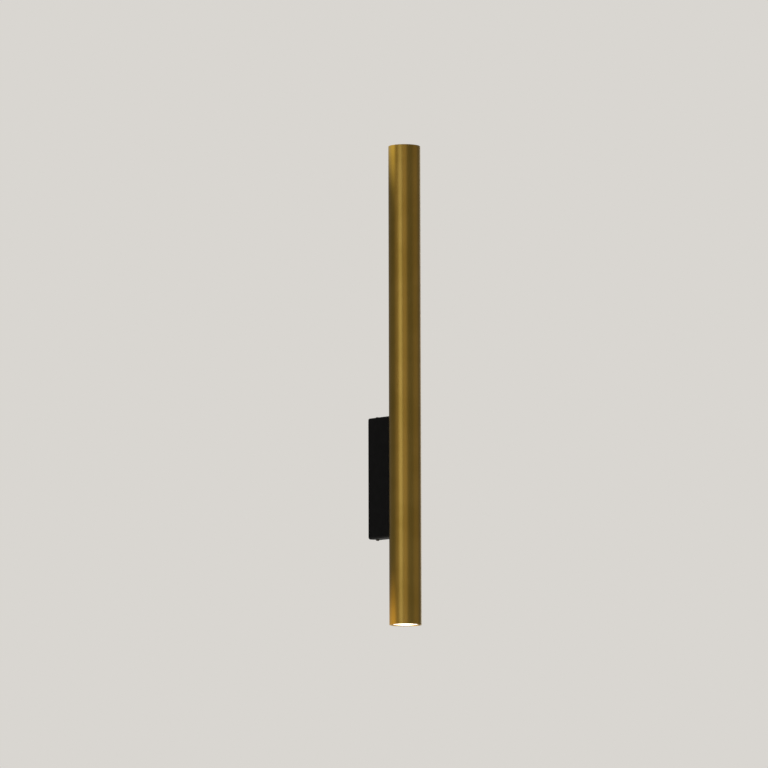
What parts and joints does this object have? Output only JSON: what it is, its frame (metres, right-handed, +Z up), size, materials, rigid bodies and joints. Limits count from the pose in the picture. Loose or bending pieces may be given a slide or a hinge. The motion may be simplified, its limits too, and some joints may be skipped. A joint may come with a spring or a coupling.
{
  "type": "tube wall light",
  "caption": "Slim upright brass tube wall light with a lamp in each end, held off the wall by a black mount box that slides onto a screwed bracket.",
  "frame": {"origin": "on the wall plane, behind the middle of the mount box, at the middle of the wall bracket's back face", "axes": "+Z up along the tube, +Y into the wall, -Y towards the room, +X to the right as seen from the room"},
  "size_m": [0.04, 0.0779, 0.6],
  "materials": {
    "satin_brass": "satin brushed brass with a clear lacquer",
    "black_powder_coat": "fine matt black powder coat",
    "blackened_steel": "black oxide",
    "zinc_plated_steel": "bright zinc plate",
    "black_rubber": "matt rubber",
    "bare_brass": "bare brass",
    "nickel_plate": "nickel plate",
    "white_nylon": "moulded nylon",
    "steatite": "fired steatite",
    "cast_aluminium": "die cast, satin",
    "opal_polycarbonate": "opal diffusing polycarbonate",
    "brown_silicone": "silicone sleeve",
    "blue_silicone": "silicone sleeve",
    "green_yellow_silicone": "silicone sleeve, green with a yellow stripe"
  },
  "bodies": {
    "bracket": {"wall_bracket": "zinc_plated_steel", "cable_grommet": "black_rubber", "earth_stud": "bare_brass", "earth_washers": "zinc_plated_steel", "earth_nut": "bare_brass"},
    "fixture": {"mount_box": "black_powder_coat", "tube_body": "satin_brass", "tube_screws": "zinc_plated_steel", "tube_screw_washers": "zinc_plated_steel", "carrier_nuts": "zinc_plated_steel", "cable_bush": "white_nylon", "lamp_carrier": "zinc_plated_steel", "terminal_block": "white_nylon", "terminal_clamps": "bare_brass", "terminal_screws": "zinc_plated_steel", "terminal_block_screw": "zinc_plated_steel", "earth_ring_terminal": "nickel_plate", "earth_lead": "green_yellow_silicone", "upper_lampholder_body": "steatite", "upper_lampholder_cover": "steatite", "upper_lampholder_contacts": "nickel_plate", "upper_lampholder_screws": "zinc_plated_steel", "upper_live_lead": "brown_silicone", "upper_neutral_lead": "blue_silicone", "lower_lampholder_body": "steatite", "lower_lampholder_cover": "steatite", "lower_lampholder_contacts": "nickel_plate", "lower_lampholder_screws": "zinc_plated_steel", "lower_live_lead": "brown_silicone", "lower_neutral_lead": "blue_silicone"},
    "top_screw": {"upper_fixing_screw": "blackened_steel"},
    "bottom_screw": {"lower_fixing_screw": "blackened_steel"},
    "upper_lamp": {"upper_lamp_heatsink": "cast_aluminium", "upper_lamp_base": "white_nylon", "upper_lamp_lens": "opal_polycarbonate", "upper_lamp_board": "cast_aluminium", "upper_lamp_pins": "nickel_plate"},
    "lower_lamp": {"lower_lamp_heatsink": "cast_aluminium", "lower_lamp_base": "white_nylon", "lower_lamp_lens": "opal_polycarbonate", "lower_lamp_board": "cast_aluminium", "lower_lamp_pins": "nickel_plate"}
  },
  "joints": [
    {"name": "box_pull_off", "type": "slide", "parent": "bracket", "child": "fixture", "axis": [0, -1, 0], "range_m": [0, 0.04]},
    {"name": "top_screw_turn", "type": "hinge", "parent": "bracket", "child": "top_screw", "pos_m": [0, -0.006, 0.076], "axis": [0, 0, 1], "range_deg": [0, 720]},
    {"name": "bottom_screw_turn", "type": "hinge", "parent": "bracket", "child": "bottom_screw", "pos_m": [0, -0.006, -0.076], "axis": [0, 0, -1], "range_deg": [0, 720]},
    {"name": "upper_lamp_twist", "type": "hinge", "parent": "fixture", "child": "upper_lamp", "pos_m": [0, -0.058, 0.414], "axis": [0, 0, 1], "range_deg": [0, 35]},
    {"name": "lower_lamp_twist", "type": "hinge", "parent": "fixture", "child": "lower_lamp", "pos_m": [0, -0.058, -0.186], "axis": [0, 0, -1], "range_deg": [0, 35]}
  ]
}
